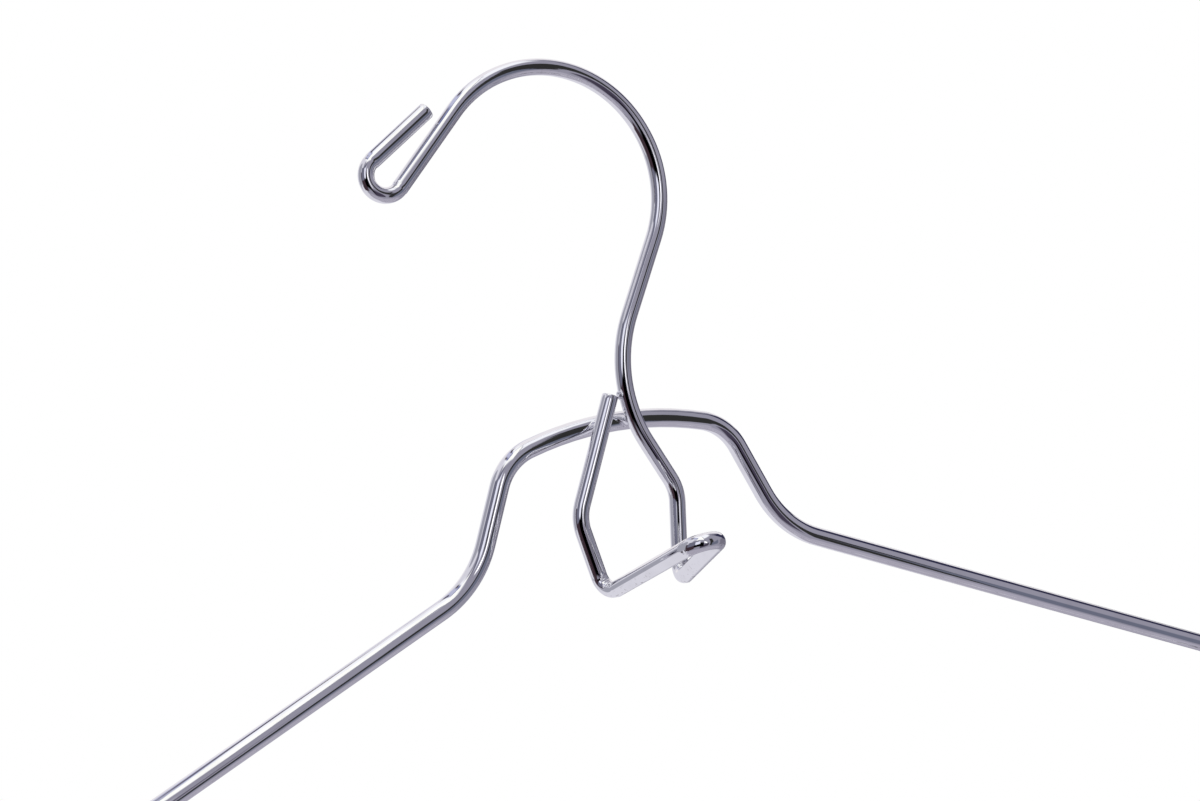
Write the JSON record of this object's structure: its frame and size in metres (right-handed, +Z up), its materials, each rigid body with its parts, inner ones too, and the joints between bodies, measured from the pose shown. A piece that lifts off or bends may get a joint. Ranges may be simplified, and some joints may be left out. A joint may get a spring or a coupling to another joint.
{
  "type": "stackable clip hanger",
  "caption": "Bright chrome wire clip hanger: open hook with folded-back tip, forward-pointing stacking loop, raised bridge, sloping shoulders and sliding spring clips on the lower bar.",
  "frame": {"origin": "inside of the hook's crown, where the hanger hangs on a rail, in the plane of the hook wire", "axes": "+Z up, X along the lower bar with the hook's mouth towards -X, -Y towards the nose of the stacking loop"},
  "size_m": [0.4199, 0.0464, 0.2283],
  "materials": {
    "chrome_wire": "bright chrome plate on drawn steel wire",
    "chrome_sheet": "chrome plate on pressed steel sheet",
    "rivet_steel": "bright plated tube with rolled-over ends",
    "spring_steel": "nickel plated spring wire",
    "black_vinyl": "soft satin vinyl"
  },
  "bodies": {
    "root": {"hook_wire": "chrome_wire", "frame_wire": "chrome_wire"},
    "left_slider": {"left_pivot_tube": "rivet_steel"},
    "left_rear": {"left_rear_jaw": "chrome_sheet", "left_rear_pad": "black_vinyl", "left_spring": "spring_steel"},
    "left_front": {"left_front_jaw": "chrome_sheet", "left_front_pad": "black_vinyl"},
    "right_slider": {"right_pivot_tube": "rivet_steel"},
    "right_rear": {"right_rear_jaw": "chrome_sheet", "right_rear_pad": "black_vinyl", "right_spring": "spring_steel"},
    "right_front": {"right_front_jaw": "chrome_sheet", "right_front_pad": "black_vinyl"}
  },
  "joints": [
    {"name": "left_slide", "type": "slide", "parent": "root", "child": "left_slider", "axis": [1, 0, 0], "range_m": [-0.013, 0.15]},
    {"name": "left_swing", "type": "hinge", "parent": "left_slider", "child": "left_rear", "pos_m": [-0.16065, 0.004, -0.19265], "axis": [1, 0, 0], "range_deg": [-120, 120]},
    {"name": "left_open", "type": "hinge", "parent": "left_rear", "child": "left_front", "pos_m": [-0.16065, 0.004, -0.19265], "axis": [-1, 0, 0], "range_deg": [0, 35], "stiffness_Nm_per_rad": 0.2, "springref_deg": -68.75, "deforming": ["left_spring"]},
    {"name": "right_slide", "type": "slide", "parent": "root", "child": "right_slider", "axis": [1, 0, 0], "range_m": [-0.15, 0.013]},
    {"name": "right_swing", "type": "hinge", "parent": "right_slider", "child": "right_rear", "pos_m": [0.17935, 0.004, -0.19265], "axis": [1, 0, 0], "range_deg": [-120, 120]},
    {"name": "right_open", "type": "hinge", "parent": "right_rear", "child": "right_front", "pos_m": [0.17935, 0.004, -0.19265], "axis": [-1, 0, 0], "range_deg": [0, 35], "stiffness_Nm_per_rad": 0.2, "springref_deg": -68.75, "deforming": ["right_spring"]}
  ]
}
